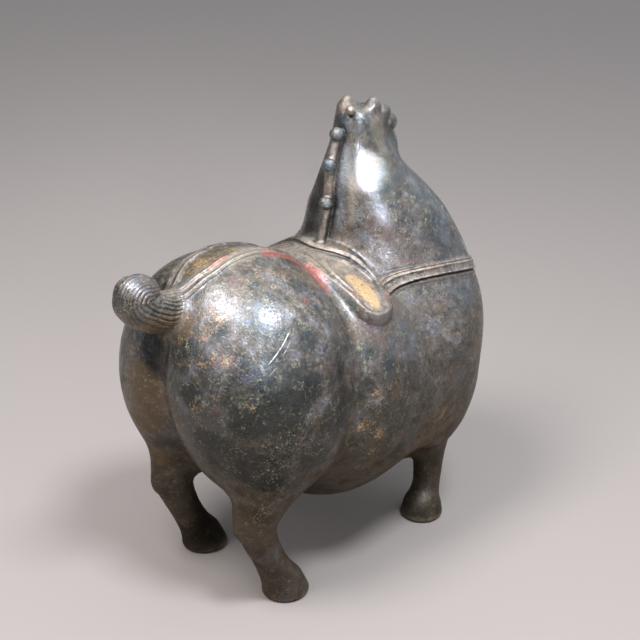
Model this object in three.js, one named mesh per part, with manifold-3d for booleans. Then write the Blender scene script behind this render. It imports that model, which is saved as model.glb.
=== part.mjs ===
import * as THREE from 'three';
import Module from 'manifold-3d';

// Bronze horse, one casting, in millimetres. It faces +X, its left is +Y and its feet stand on z = 0.
// Each mass is a signed distance: below zero inside the metal, above zero in the air around it.

const { abs, cos, exp, hypot, max, min, PI, sin, sqrt } = Math;

// Driving sizes
const ORIGIN = [2.28, 1.15];    // middle of the whole figure, seen from above
const SWAY = 5.5;               // how far the rump swings to the horse's left
const HEAD_TURN = 32 * PI / 180;
const POLL = [45, 0, 226];      // top of the neck, where the head starts
const STANCE = 31;              // each foot from the middle line
const CELL = 1.6;               // pitch of the grid that the surface is first drawn on
const GRID = { low: [-124.3, -78.4, -20.2], high: [124, 78, 250] };
const TRIANGLES = 9300;

// The trunk: [centre x, centre z] and half sizes along x, y and z
const CROUP = { at: [-36.8, 0, 126.6], half: [48.2, 34.4, 50] };
const HAUNCH = { at: [-38.6, 21.3, 109.6], half: [46.1, 39.9, 57.2] };
const BARREL = { at: [8.2, 0, 95.8], half: [49.8, 63.3, 65.8] };
const CHEST = { at: [63, 0, 94.3], half: [39.6, 61.7, 67] };

// The neck by height: z, centre x, half length, half width
const NECK = [
  [64, 66, 4, 10],
  [88, 69.8, 17, 25.3],
  [108, 72.1, 29, 42.7],
  [125, 71.4, 38, 50],
  [150, 67.9, 38.1, 43.9],
  [161, 63.9, 38, 41],
  [176, 57.9, 35, 35.7],
  [186, 53.9, 30, 29.3],
  [197, 48.6, 24.2, 21.4],
  [210, 43.6, 15.7, 14.4],
  [222, 42, 10.5, 10],
  [229, 42, 7, 7],
];

// Limbs and other round members: x, y, z, radius
const HIND_LEG = [
  [-42, 28, 92, 28],
  [-54, STANCE, 68, 16],
  [-61, STANCE, 50, 10.8],
  [-54, STANCE, 28, 8.6],
  [-46, STANCE, 12, 9.2],
  [-41.5, STANCE, -2, 12],
];
const HOCK = { at: [-66, STANCE, 51], half: [6, 6, 9] };
const FORE_LEG = [
  [61, 31, 75, 24],
  [69, STANCE, 48, 14],
  [70.5, STANCE, 33, 9.6],
  [68, 32, 17, 8],
  [64, 33.5, 6, 10.4],
  [62, 34, -3, 12.6],
];
const TAIL = [
  [-64, 9, 152, 10],
  [-77, 9, 154, 9.8],
  [-89, 9, 158, 10],
  [-97, 9, 165.5, 10],
  [-94.5, 9, 169, 8.5],
  [-88, 9, 168.5, 6],
];

// The head in its own frame at the poll: forward, to the side, up
const SKULL = [
  [2, 0, -7, 11],
  [16, 0, -9, 12.3],
  [30, 0, -22, 10.8],
  [42, 0, -33, 9.3],
  [50, 0, -41, 8.8],
];
const JAW = [
  [16, 0, -28, 8.5],
  [31, 0, -39, 7.2],
  [43, 0, -49, 6.4],
];
const CHEEK = { at: [21, 6, -23], half: [14, 10.2, 12.5] };
const BROW = { at: [16, 9, -2.2], half: [6, 4, 3.8] };
const EYE = { at: [20.5, 12.6, -10], half: [4.4, 2.8, 3.4] };
const NOSTRIL = { at: [53, 5.4, -37], half: [4.2, 3.6, 4] };
const NOSTRIL_HOLE = { at: [56.6, 6, -36], half: [3.4, 2.2, 2.4] };
const MOUTH = { from: [43, -44.5], slope: -0.9, half: 1.5, depth: 1.3, fade: 4 };
const EAR = [
  [-1, 6.1, 0, 4.2],
  [-1, 6.2, 6, 3.2],
  [-0.5, 6.3, 9.8, 1.2],
];

// The hogged mane: a ridge with four round tufts
const RIDGE = [
  [40, 0, 228, 2.6],
  [30, 0, 219, 2.6],
  [24.5, 0, 205, 2.6],
  [22.3, 0, 186.5, 2.6],
  [17.5, 0, 167, 2.6],
];
const TUFTS = [[38, 229], [28, 220.2], [22.6, 206], [20.4, 186.8]];
const TUFT_RADIUS = 3.2;

// The harness, raised from the skin
const SADDLE = {
  x: 11.5, half: 10.5, top: 165, drop: 42,
  pad: 1.6, tip: 3, swell: [20, 50], slope: 1.2, edge: 0.8, rim: 0.9, rimWidth: 2.6,
};
const BREAST_STRAP = { z: 153, crest: 50, bow: 14.5, half: 2.8, height: 1.2, edge: 0.7, start: 22 };
const CRUPPER = {
  start: -76, end: 2, fade: 3, low: 140,
  shift: 4, spread: 10.3, widen: 20, curve: 0.6, half: 2.7, height: 1, edge: 0.7,
};
const HARNESS_REACH = 8;        // no relief is needed further than this from the skin

// How softly each mass runs into what carries it
const BLEND = {
  haunches: 14, chest: 36, neck: 20, rump: 5, hindLegs: 10, hocks: 6, foreLegs: 10, head: 5,
  ridge: 2.5, tuft: 1, tail: 4, jaw: 3, cheek: 5, brow: 3, eye: 1.2, nostril: 3, nostrilHole: 1, ear: 2.5,
};

function softUnion(a, b, k) {
  const h = max(k - abs(a - b), 0) / k;
  return min(a, b) - h * h * k * 0.25;
}

function softCut(a, b, k) {
  return -softUnion(-a, b, k);
}

// 0 before a, 1 after b and a smooth rise between
function rise(v, a, b) {
  const t = min(max((v - a) / (b - a), 0), 1);
  return t * t * (3 - 2 * t);
}

function ellipsoid({ at, half }) {
  return (x, y, z) => {
    const px = (x - at[0]) / half[0];
    const py = (y - at[1]) / half[1];
    const pz = (z - at[2]) / half[2];
    const reach = hypot(px, py, pz);
    const steepness = hypot(px / half[0], py / half[1], pz / half[2]);
    return reach * (reach - 1) / max(steepness, 1e-9);
  };
}

// A cone with round ends, from one row of x, y, z, radius to the next
function roundCone([ax, ay, az, ra], [bx, by, bz, rb]) {
  const ux = bx - ax;
  const uy = by - ay;
  const uz = bz - az;
  const length2 = ux * ux + uy * uy + uz * uz;
  const taper = ra - rb;
  const slant2 = max(length2 - taper * taper, 1e-9);
  return (x, y, z) => {
    const px = x - ax;
    const py = y - ay;
    const pz = z - az;
    const down = px * ux + py * uy + pz * uz;
    const past = down - length2;
    const side2 = (px * length2 - ux * down) ** 2 + (py * length2 - uy * down) ** 2
      + (pz * length2 - uz * down) ** 2;
    const edge = Math.sign(taper) * taper * taper * side2;
    if (Math.sign(past) * slant2 * past * past * length2 > edge) {
      return sqrt(side2 + past * past * length2) / length2 - rb;
    }
    if (Math.sign(down) * slant2 * down * down * length2 < edge) {
      return sqrt(side2 + down * down * length2) / length2 - ra;
    }
    return (sqrt(side2 * slant2 / length2) + down * taper) / length2 - ra;
  };
}

// Smooth values through rows that each start with their place along the line
function along(rows, place) {
  const last = rows.length - 1;
  let i = 1;
  while (i < last && rows[i][0] < place) {
    i++;
  }
  const slope = (j, q) => {
    const before = rows[max(j - 1, 0)];
    const after = rows[min(j + 1, last)];
    return (after[q] - before[q]) / (after[0] - before[0]);
  };
  const a = rows[i - 1];
  const b = rows[i];
  const span = b[0] - a[0];
  const t = (place - a[0]) / span;
  const ease = t * t * (3 - 2 * t);
  return a.map((value, q) => value + ease * (b[q] - value)
    + span * t * (1 - t) * ((1 - t) * slope(i - 1, q) - t * slope(i, q)));
}

// A bent round member through rows of x, y, z, radius
function member(stations, pieces = 12) {
  const apart = (a, b) => hypot(a[0] - b[0], a[1] - b[1], a[2] - b[2]);
  const clear = 16;
  const rows = [];
  let run = 0;
  stations.forEach((station, i) => {
    run += i ? apart(station, stations[i - 1]) : 0;
    rows.push([run, ...station]);
  });
  const joints = [];
  for (let i = 0; i <= pieces; i++) {
    joints.push(along(rows, run * i / pieces).slice(1));
  }
  const cones = joints.slice(1).map((joint, i) => roundCone(joints[i], joint));
  const middle = joints[Math.floor(pieces / 2)];
  const reach = max(...joints.map((joint) => apart(joint, middle) + joint[3]));
  return (x, y, z) => {
    const far = apart([x, y, z], middle) - reach;
    if (far > clear) return far;
    return cones.reduce((nearest, cone) => min(nearest, cone(x, y, z)), Infinity);
  };
}

// A stack of ellipses by height, through rows of z, centre x, half length, half width
function column(rows) {
  const low = rows[0][0];
  const high = rows[rows.length - 1][0];
  const levels = [];
  for (let z = low; z <= high; z++) {
    levels.push(along(rows, z));
  }
  return (x, y, z) => {
    const level = min(max(z - low, 0), levels.length - 1.001);
    const under = levels[Math.floor(level)];
    const over = levels[Math.floor(level) + 1];
    const t = level - Math.floor(level);
    const centre = under[1] + t * (over[1] - under[1]);
    const halfLength = under[2] + t * (over[2] - under[2]);
    const halfWidth = under[3] + t * (over[3] - under[3]);
    const lean = over[2] - under[2];
    const side = (hypot((x - centre) / halfLength, y / halfWidth) - 1) * min(halfLength, halfWidth);
    return max(side / sqrt(1 + lean * lean), z - high, low - z);
  };
}

const mirrored = (field) => (x, y, z) => field(x, abs(y), z);

// The middle line of the rump, which swings to the left towards the tail
const spine = (x) => SWAY * rise(-x, -15, 60);

const croup = ellipsoid(CROUP);
const haunches = mirrored(ellipsoid(HAUNCH));
const barrel = ellipsoid(BARREL);
const chest = ellipsoid(CHEST);
const neck = column(NECK);
const hindLegs = mirrored(member(HIND_LEG));
const hocks = mirrored(ellipsoid(HOCK));
const foreLegs = mirrored(member(FORE_LEG));
const tail = member(TAIL);
const ridge = member(RIDGE);
const tuftHalf = [TUFT_RADIUS, TUFT_RADIUS, TUFT_RADIUS];
const tufts = TUFTS.map(([x, z]) => ellipsoid({ at: [x, 0, z], half: tuftHalf }));

const skull = member(SKULL);
const jaw = member(JAW, 6);
const cheek = ellipsoid(CHEEK);
const brow = ellipsoid(BROW);
const eye = ellipsoid(EYE);
const nostril = ellipsoid(NOSTRIL);
const nostrilHole = ellipsoid(NOSTRIL_HOLE);
const ear = member(EAR, 6);

function head(x, y, z) {
  const dx = x - POLL[0];
  const dy = y - POLL[1];
  const forward = dx * cos(HEAD_TURN) + dy * sin(HEAD_TURN);
  const side = abs(dx * sin(HEAD_TURN) - dy * cos(HEAD_TURN));
  const up = z - POLL[2];
  let d = softUnion(skull(forward, side, up), jaw(forward, side, up), BLEND.jaw);
  d = softUnion(d, cheek(forward, side, up), BLEND.cheek);
  d = softUnion(d, brow(forward, side, up), BLEND.brow);
  d = softUnion(d, eye(forward, side, up), BLEND.eye);
  d = softUnion(d, nostril(forward, side, up), BLEND.nostril);
  d = softCut(d, nostrilHole(forward, side, up), BLEND.nostrilHole);
  const lip = (up - MOUTH.from[1] - MOUTH.slope * (forward - MOUTH.from[0])) / hypot(1, MOUTH.slope);
  const open = rise(forward, MOUTH.from[0] - MOUTH.fade, MOUTH.from[0]);
  d += MOUTH.depth * open * exp(-((lip / MOUTH.half) ** 2));
  return softUnion(d, ear(forward, side, up), BLEND.ear);
}

// Height of the saddle with its tongue-shaped flap and raised rim
function saddleRelief(x, y, z) {
  const chord = hypot(y, max(SADDLE.top - z, 0));
  const inside = SADDLE.half - hypot(x - SADDLE.x, max(chord - SADDLE.drop, 0));
  const pad = SADDLE.pad + SADDLE.tip * rise(chord, ...SADDLE.swell);
  const rim = rise(inside, 0, SADDLE.edge) * rise(SADDLE.rimWidth - inside, 0, SADDLE.edge);
  return pad * rise(inside, -SADDLE.slope, SADDLE.edge) + SADDLE.rim * rim;
}

// Height of the strap that runs from the flaps round the chest
function breastStrapRelief(x, z) {
  if (x < BREAST_STRAP.start) return 0;
  const middle = BREAST_STRAP.z - ((x - BREAST_STRAP.crest) / BREAST_STRAP.bow) ** 2;
  const inside = BREAST_STRAP.half - abs(z - middle);
  return BREAST_STRAP.height * rise(inside, -BREAST_STRAP.edge, BREAST_STRAP.edge);
}

// Height of the two straps that run from the saddle over the rump to the tail
function crupperRelief(x, y, z) {
  const from = x - CRUPPER.start;
  if (from < 0 || x > CRUPPER.end || z < CRUPPER.low) return 0;
  const share = min(from / CRUPPER.widen, 1);
  const spread = CRUPPER.spread * share ** CRUPPER.curve;
  const slant = share < 1 ? CRUPPER.curve * spread / max(from, 1) : 0;
  const inside = CRUPPER.half - abs(abs(y - spine(x) - CRUPPER.shift) - spread) / hypot(1, slant);
  const ends = rise(from, 0, CRUPPER.fade) * rise(CRUPPER.end - x, 0, CRUPPER.fade);
  return CRUPPER.height * ends * rise(inside, -CRUPPER.edge, CRUPPER.edge);
}

function horse(x, y, z) {
  const bentY = y - spine(x);
  let rump = softUnion(croup(x, bentY, z), haunches(x, bentY, z), BLEND.haunches);
  let front = softUnion(barrel(x, y, z), chest(x, y, z), BLEND.chest);
  front = softUnion(front, neck(x, y, z), BLEND.neck);
  if (abs(front) < HARNESS_REACH) front -= saddleRelief(x, y, z) + breastStrapRelief(x, z);
  if (abs(rump) < HARNESS_REACH) rump -= crupperRelief(x, y, z);
  let d = softUnion(rump, front, BLEND.rump);
  d = softUnion(d, hindLegs(x, y, z), BLEND.hindLegs);
  d = softUnion(d, hocks(x, y, z), BLEND.hocks);
  d = softUnion(d, foreLegs(x, y, z), BLEND.foreLegs);
  d = softUnion(d, head(x, y, z), BLEND.head);
  d = softUnion(d, ridge(x, y, z), BLEND.ridge);
  for (const tuft of tufts) {
    d = softUnion(d, tuft(x, y, z), BLEND.tuft);
  }
  return softUnion(d, tail(x, y, z), BLEND.tail);
}

// Draws the surface of a field as squares between grid cells, each split into two triangles
function skin(field, low, high) {
  const [nx, ny, nz] = low.map((v, q) => Math.ceil((high[q] - v) / CELL) + 1);
  const step = [1, nx, nx * ny];
  const value = new Float32Array(nx * ny * nz);
  const block = 8;
  const clear = block * CELL * 1.5;
  const sample = (i, j, k) => field(low[0] + i * CELL, low[1] + j * CELL, low[2] + k * CELL);
  const eachCell = (from, to, visit) => {
    for (let k = from[2]; k < to[2]; k++) {
      for (let j = from[1]; j < to[1]; j++) {
        for (let i = from[0]; i < to[0]; i++) {
          visit(i, j, k, i + j * step[1] + k * step[2]);
        }
      }
    }
  };
  eachCell([0, 0, 0], [nx / block, ny / block, nz / block], (bi, bj, bk) => {
    const start = [bi * block, bj * block, bk * block];
    const end = [nx, ny, nz].map((n, q) => min(start[q] + block, n));
    const middle = sample(...start.map((s) => s + block / 2));
    eachCell(start, end, (i, j, k, at) => {
      value[at] = abs(middle) > clear ? middle : sample(i, j, k);
    });
  });
  // Where metal touches metal across the diagonal of a grid square, the gap between is filled
  const justInside = -1e-3;
  let filled = 1;
  while (filled) {
    filled = 0;
    eachCell([0, 0, 0], [nx - 1, ny - 1, nz - 1], (i, j, k, at) => {
      for (const [u, w] of [[step[0], step[1]], [step[1], step[2]], [step[2], step[0]]]) {
        const square = [at, at + u, at + w, at + u + w];
        const metal = square.map((n) => value[n] < 0);
        if (metal[0] !== metal[3] || metal[1] !== metal[2] || metal[0] === metal[1]) continue;
        const air = square.filter((n) => value[n] >= 0);
        value[value[air[0]] < value[air[1]] ? air[0] : air[1]] = justInside;
        filled++;
      }
    });
  }
  const points = [];
  const cornerOf = (n) => [n & 1, (n >> 1) & 1, n >> 2];
  const edges = [];
  for (const bit of [1, 2, 4]) {
    for (let n = 0; n < 8; n++) {
      if (!(n & bit)) edges.push([n, n | bit]);
    }
  }
  const vertexOf = new Int32Array(value.length).fill(-1);
  eachCell([0, 0, 0], [nx - 1, ny - 1, nz - 1], (i, j, k, at) => {
    const sum = [0, 0, 0];
    let crossings = 0;
    for (const [a, b] of edges) {
      const ca = cornerOf(a);
      const cb = cornerOf(b);
      const va = value[at + ca[0] + ca[1] * step[1] + ca[2] * step[2]];
      const vb = value[at + cb[0] + cb[1] * step[1] + cb[2] * step[2]];
      if ((va < 0) === (vb < 0)) continue;
      ca.forEach((corner, q) => {
        sum[q] += corner + va / (va - vb) * (cb[q] - corner);
      });
      crossings++;
    }
    if (!crossings) return;
    vertexOf[at] = points.length;
    points.push([i, j, k].map((n, q) => low[q] + (n + sum[q] / crossings) * CELL));
  });
  const faces = [];
  eachCell([1, 1, 1], [nx - 1, ny - 1, nz - 1], (i, j, k, at) => {
    for (let axis = 0; axis < 3; axis++) {
      if ((value[at] < 0) === (value[at + step[axis]] < 0)) continue;
      const u = step[(axis + 1) % 3];
      const w = step[(axis + 2) % 3];
      const ring = [at - u - w, at - w, at, at - u].map((n) => vertexOf[n]);
      if (value[at] > 0) ring.reverse();
      faces.push([ring[0], ring[1], ring[2]], [ring[0], ring[2], ring[3]]);
    }
  });
  return { points, faces };
}

// Moves each point onto the surface of the field
function settle(field, points) {
  const small = 0.05;
  const longest = 0.6;
  const flattest = 0.2;
  for (let round = 0; round < 3; round++) {
    for (const p of points) {
      const [x, y, z] = p;
      const slope = [
        field(x + small, y, z) - field(x - small, y, z),
        field(x, y + small, z) - field(x, y - small, z),
        field(x, y, z + small) - field(x, y, z - small),
      ].map((v) => v / (2 * small));
      const steep = slope[0] ** 2 + slope[1] ** 2 + slope[2] ** 2;
      const pull = max(min(field(x, y, z) / max(steep, flattest), longest), -longest);
      slope.forEach((v, q) => {
        p[q] -= pull * v;
      });
    }
  }
}

const minus = (a, b) => [a[0] - b[0], a[1] - b[1], a[2] - b[2]];
const dot = (a, b) => a[0] * b[0] + a[1] * b[1] + a[2] * b[2];
const cross = (a, b) => [a[1] * b[2] - a[2] * b[1], a[2] * b[0] - a[0] * b[2], a[0] * b[1] - a[1] * b[0]];

// The ten sums that tell how far any place lies from the planes of the triangles round a point
function planeSums(a, b, c) {
  const normal = cross(minus(b, a), minus(c, a));
  const area = hypot(...normal);
  const [x, y, z] = normal.map((v) => v / max(area, 1e-12));
  const w = -dot([x, y, z], a);
  return [x * x, x * y, x * z, x * w, y * y, y * z, y * w, z * z, z * w, w * w].map((v) => v * area);
}

function planeError(s, [x, y, z]) {
  return s[0] * x * x + s[4] * y * y + s[7] * z * z + s[9]
    + 2 * (s[1] * x * y + s[2] * x * z + s[5] * y * z + s[3] * x + s[6] * y + s[8] * z);
}

// The place nearest to all the planes, held towards a middle point where they leave it free
function bestPlace(s, middle) {
  const hold = 0.01 * (s[0] + s[4] + s[7]) + 1e-9;
  const rows = [[s[0] + hold, s[1], s[2]], [s[1], s[4] + hold, s[5]], [s[2], s[5], s[7] + hold]];
  const right = [s[3], s[6], s[8]].map((v, q) => hold * middle[q] - v);
  const volume = dot(rows[0], cross(rows[1], rows[2]));
  return [
    dot(right, cross(rows[1], rows[2])) / volume,
    dot(rows[0], cross(right, rows[2])) / volume,
    dot(rows[0], cross(rows[1], right)) / volume,
  ];
}

// A list that always gives its cheapest entry first
class Queue {
  entries = [];
  push(entry) {
    const list = this.entries;
    let i = list.length;
    while (i > 0 && list[(i - 1) >> 1].cost > entry.cost) {
      list[i] = list[(i - 1) >> 1];
      i = (i - 1) >> 1;
    }
    list[i] = entry;
  }
  pop() {
    const list = this.entries;
    const first = list[0];
    const entry = list.pop();
    let i = 0;
    while (list.length) {
      let child = 2 * i + 1;
      if (child >= list.length) break;
      if (child + 1 < list.length && list[child + 1].cost < list[child].cost) child++;
      if (list[child].cost >= entry.cost) break;
      list[i] = list[child];
      i = child;
    }
    if (list.length) list[i] = entry;
    return first;
  }
}

// Closes the edges that matter least to the form until the wanted number of triangles is left
function thin({ points, faces }, wanted) {
  const evenness = 2e-4;
  const leastCosine = 0.35;
  const leastArea = 0.025;
  const facesOf = points.map(() => new Set());
  const sums = points.map(() => new Array(10).fill(0));
  const stamp = new Int32Array(points.length);
  faces.forEach((face, n) => {
    const plane = planeSums(...face.map((v) => points[v]));
    for (const v of face) {
      facesOf[v].add(n);
      plane.forEach((value, q) => {
        sums[v][q] += value;
      });
    }
  });
  const around = (v) => {
    const ring = new Set([...facesOf[v]].flatMap((n) => faces[n]));
    ring.delete(v);
    return ring;
  };
  const queue = new Queue();
  const offer = (a, b) => {
    const middle = points[a].map((value, q) => (value + points[b][q]) / 2);
    const both = sums[a].map((value, q) => value + sums[b][q]);
    const place = bestPlace(both, middle);
    const length = hypot(...minus(points[a], points[b]));
    const cost = max(planeError(both, place), 0) + evenness * length ** 4;
    queue.push({ cost, a, b, place, age: stamp[a] + stamp[b] });
  };
  const turnsOver = (v, partner, place) => {
    for (const n of facesOf[v]) {
      if (faces[n].includes(partner)) continue;
      const before = faces[n].map((u) => points[u]);
      const after = faces[n].map((u) => (u === v ? place : points[u]));
      const old = cross(minus(before[1], before[0]), minus(before[2], before[0]));
      const fresh = cross(minus(after[1], after[0]), minus(after[2], after[0]));
      if (dot(old, fresh) < leastCosine * hypot(...old) * hypot(...fresh)) return true;
      if (hypot(...fresh) < 2 * leastArea) return true;
    }
    return false;
  };
  points.forEach((_, v) => {
    for (const other of around(v)) {
      if (other > v) offer(v, other);
    }
  });
  let left = faces.length;
  while (left > wanted) {
    const { a, b, place, age } = queue.pop();
    if (!facesOf[a] || !facesOf[b] || stamp[a] + stamp[b] !== age) continue;
    const ringB = around(b);
    const shared = [...around(a)].filter((v) => ringB.has(v));
    if (shared.length !== 2 || turnsOver(a, b, place) || turnsOver(b, a, place)) continue;
    points[a] = place;
    sums[a] = sums[a].map((value, q) => value + sums[b][q]);
    for (const n of facesOf[b]) {
      if (faces[n].includes(a)) {
        for (const v of faces[n].filter((u) => u !== b)) {
          facesOf[v].delete(n);
        }
        faces[n] = null;
        left--;
      } else {
        faces[n] = faces[n].map((v) => (v === b ? a : v));
        facesOf[a].add(n);
      }
    }
    facesOf[b] = null;
    stamp[a]++;
    for (const other of around(a)) {
      offer(a, other);
    }
  }
  const kept = new Map();
  facesOf.forEach((set, v) => {
    if (set) kept.set(v, kept.size);
  });
  return {
    points: [...kept.keys()].map((v) => points[v]),
    faces: faces.filter(Boolean).map((face) => face.map((v) => kept.get(v))),
  };
}

const wasm = await Module();
wasm.setup();

function solidOf(positions, indices) {
  return new wasm.Manifold(new wasm.Mesh({
    numProp: 3,
    vertProperties: new Float32Array(positions),
    triVerts: new Uint32Array(indices),
  }));
}

// A closed box below the ground, with its eight corners shared by its twelve triangles
function groundBlock(reach, depth) {
  const corners = [];
  for (const z of [-depth, 0]) {
    for (const y of [-reach, reach]) {
      corners.push(-reach, y, z, reach, y, z);
    }
  }
  const sides = [[0, 2, 3, 1], [4, 5, 7, 6], [0, 1, 5, 4], [2, 6, 7, 3], [0, 4, 6, 2], [1, 3, 7, 5]];
  return solidOf(corners, sides.flatMap(([a, b, c, d]) => [a, b, c, a, c, d]));
}

const drawn = skin(horse, GRID.low, GRID.high);
settle(horse, drawn.points);
const figure = thin(drawn, TRIANGLES);
settle(horse, figure.points);

// The feet are ground flat
const whole = solidOf(figure.points.flat(), figure.faces.flat());
const casting = whole.subtract(groundBlock(300, 60)).getMesh();
const geometry = new THREE.BufferGeometry();
geometry.setAttribute('position', new THREE.BufferAttribute(casting.vertProperties, 3));
geometry.setIndex(new THREE.BufferAttribute(casting.triVerts, 1));
geometry.translate(-ORIGIN[0], -ORIGIN[1], 0);
geometry.computeVertexNormals();

const bronze = new THREE.MeshStandardMaterial({ color: 0x4f463d, roughness: 0.4, metalness: 0.85 });
const horseMesh = new THREE.Mesh(geometry, bronze);
horseMesh.name = 'horse';

const group = new THREE.Group();
group.add(horseMesh);

export default group;
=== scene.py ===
"""Looks of a small cast bronze horse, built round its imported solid.

The horse's forms are worked out in millimetres in the frame that it was modelled in, whose origin lies
ORIGIN away from the row's own. Each mass is a signed distance: below zero in the metal, above zero outside.
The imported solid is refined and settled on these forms, chased, stained and then lit.
"""

import functools
import math

import bpy
import numpy as np
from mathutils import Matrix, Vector, noise


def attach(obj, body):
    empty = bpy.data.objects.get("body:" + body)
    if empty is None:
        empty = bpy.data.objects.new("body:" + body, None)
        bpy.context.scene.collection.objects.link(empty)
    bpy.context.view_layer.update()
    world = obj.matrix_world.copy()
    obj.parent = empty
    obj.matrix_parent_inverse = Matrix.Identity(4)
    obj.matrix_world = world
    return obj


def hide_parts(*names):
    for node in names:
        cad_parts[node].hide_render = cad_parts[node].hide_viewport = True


MM = 0.001

# Driving sizes of the figure, as in its solid
ORIGIN = np.array([2.28, 1.15, 0.0])
SWAY = 5.5
HEAD_TURN = math.radians(32)
POLL = np.array([45.0, 0.0, 226.0])
STANCE = 31.0

CROUP = ((-36.8, 0, 126.6), (48.2, 34.4, 50))
HAUNCH = ((-38.6, 21.3, 109.6), (46.1, 39.9, 57.2))
BARREL = ((8.2, 0, 95.8), (49.8, 63.3, 65.8))
CHEST = ((63, 0, 94.3), (39.6, 61.7, 67))

# The neck by height: z, centre x, half length, half width
NECK = [
    (64, 66, 4, 10), (88, 69.8, 17, 25.3), (108, 72.1, 29, 42.7), (125, 71.4, 38, 50),
    (150, 67.9, 38.1, 43.9), (161, 63.9, 38, 41), (176, 57.9, 35, 35.7), (186, 53.9, 30, 29.3),
    (197, 48.6, 24.2, 21.4), (210, 43.6, 15.7, 14.4), (222, 42, 10.5, 10), (229, 42, 7, 7),
]

# Limbs and other round members: x, y, z, radius
HIND_LEG = [
    (-42, 28, 92, 28), (-54, STANCE, 68, 16), (-61, STANCE, 50, 10.6), (-54.5, STANCE, 30, 8.2),
    (-47.5, STANCE, 15, 8.8), (-42.5, STANCE, 5, 11.2), (-41, STANCE, -2, 12.6),
]
CLEFT = {
    "depth": 5.0, "half": 8, "shift": 5, "round": 8, "width": 13, "back": (50, 72), "under": (-156, -138),
}
HOCK = ((-68, STANCE, 50), (6, 5, 7))
FORE_LEG = [
    (61.5, 31, 77, 22), (69.5, STANCE, 50, 12.6), (71, STANCE, 34, 8.8), (69, 32.2, 18, 7.6),
    (67, 32.8, 12.5, 7.6), (63.5, 34, 5, 10.8), (62.5, 34.4, -2, 12.2),
]
ARMPIT = {"at": (47, 38, 43), "round": 13, "depth": 4.5}
TAIL = [
    (-64, 9, 152, 10), (-77, 9, 154, 9.6), (-88.5, 9, 158, 9.6), (-96, 9, 165.5, 9.4),
    (-94, 9, 169, 8.5), (-88, 9, 168.5, 6),
]

# The head in its own frame at the poll: forward, to the side, up
SKULL = [(2, 0, -8.5, 10.6), (16, 0, -11.2, 12.3), (30, 0, -22, 10.8), (42, 0, -33, 9.3), (50, 0, -41, 8.8)]
JAW = [(16, 0, -28, 8.5), (31, 0, -39, 7.2), (43, 0, -49, 6.4)]
CHEEK = ((21, 6, -23), (14, 10.2, 12.5))
BROW = ((16, 9, -2.2), (6, 4, 3.8))
EYE = ((20.5, 12.8, -8.2), (4.8, 3.0, 4.4))
NOSTRIL = ((53, 5.4, -37), (4.2, 3.6, 4))
NOSTRIL_HOLE = ((56.6, 6, -36), (3.4, 2.2, 2.4))
HEAD_REACH = 75.0
MOUTH = {"from": (43, -44.5), "slope": -0.9, "half": 1.5, "depth": 1.3, "fade": 4}
POLL_TOP = ((-2, 0, -1.0), (9.5, 8.5, 4.6))
EAR = [(-1, 6.4, 0, 4.6), (-1, 6.5, 3.8, 4.0), (-0.4, 6.6, 7.1, 2.4)]

# The hogged mane: a ridge with three round tufts on it and a small one by itself between the ears
RIDGE = [
    (28.6, 0, 219, 2.4), (26, 0, 212, 2.4), (23.8, 0, 204, 2.4), (21.8, 0, 186.5, 2.4),
    (18.2, 0, 171, 2.3), (16.5, 0, 165, 2.2),
]
TOP_TUFT = (33.4, -4.3, 231.0, 2.5)
TUFTS = [(27.6, -0.5, 219.2, 3.8), (22.4, -0.5, 205, 3.7), (20.1, -0.5, 185.7, 3.7)]

# The harness, each part with its run, its height and its half width
SADDLE = {
    "x": 10, "half": 12.2, "taper": 1.5, "top": 165, "drop": 44.3, "pad": 1.5, "tip": 2.6,
    "swell": (20, 52), "slope": 2.2, "edge": 0.8, "rim": 0.55, "rim_width": 2.6, "pommel": 167,
    "narrows_from": 15, "low": 100,
}
BREAST_STRAP = {
    "z": 153, "crest": 50, "bow": 14.5, "half": 2.8, "height": 0.9, "start": 22, "edge": (-0.5, 0.5),
}
CRUPPER = {
    "start": -76, "end": 2, "fade": 3, "low": 140, "shift": 4, "spread": 10.3, "widen": 20,
    "curve": 0.6, "half": 3.4, "height": 0.6, "edge": (-0.4, 0.5),
}
HARNESS_REACH = 8.0

# The fine lines that border each part of it: offset, height and width, the cut ones with a height below zero
SADDLE_LINES = [(1.1, 0.45, 0.4), (0.4, -0.3, 0.35)]
BREAST_STRAP_LINES = [
    (2.7, 0.45, 0.42), (1.3, 0.4, 0.42), (2.0, -0.25, 0.3),
    (-2.4, 0.35, 0.4), (-3.3, -0.6, 0.45), (-4.7, 0.25, 0.4),
]
CRUPPER_LINES = [(3.0, 0.45, 0.42), (1.7, 0.4, 0.42), (2.35, -0.2, 0.3)]

# How softly each mass runs into what carries it
BLEND = {
    "haunches": 14, "chest": 36, "neck": 20, "rump": 3, "hind_legs": 8, "hocks": 3, "fore_legs": 4,
    "head": 7, "ridge": 1.6, "tuft": 0.7, "tail": 4, "jaw": 3, "cheek": 5, "brow": 3, "eye": 1.6,
    "nostril": 3, "nostril_hole": 1, "ear": 2.0, "poll": 5, "sole": 3, "pommel": 11,
}


def rise(value, low, high):
    """0 below low, 1 above high and a smooth rise between."""
    t = np.clip((value - low) / (high - low), 0, 1)
    return t * t * (3 - 2 * t)


def line(offset, width):
    """A fine rounded ridge where the offset is zero."""
    return np.exp(-((offset / width) ** 2))


def scored(offset, lines):
    """Several fine ridges and cuts, each at its own offset."""
    return sum(height * line(offset - at, width) for at, height, width in lines)


def within(value, low, high):
    return (value > low) & (value < high)


def soft_union(a, b, k):
    """Two masses run into each other over a width k."""
    h = np.maximum(k - np.abs(a - b), 0) / k
    return np.minimum(a, b) - h * h * k * 0.25


def soft_cut(a, b, k):
    """What is left of the first mass once the second is taken out of it."""
    return -soft_union(-a, b, k)


def length(v):
    return np.sqrt((v * v).sum(1))


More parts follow.
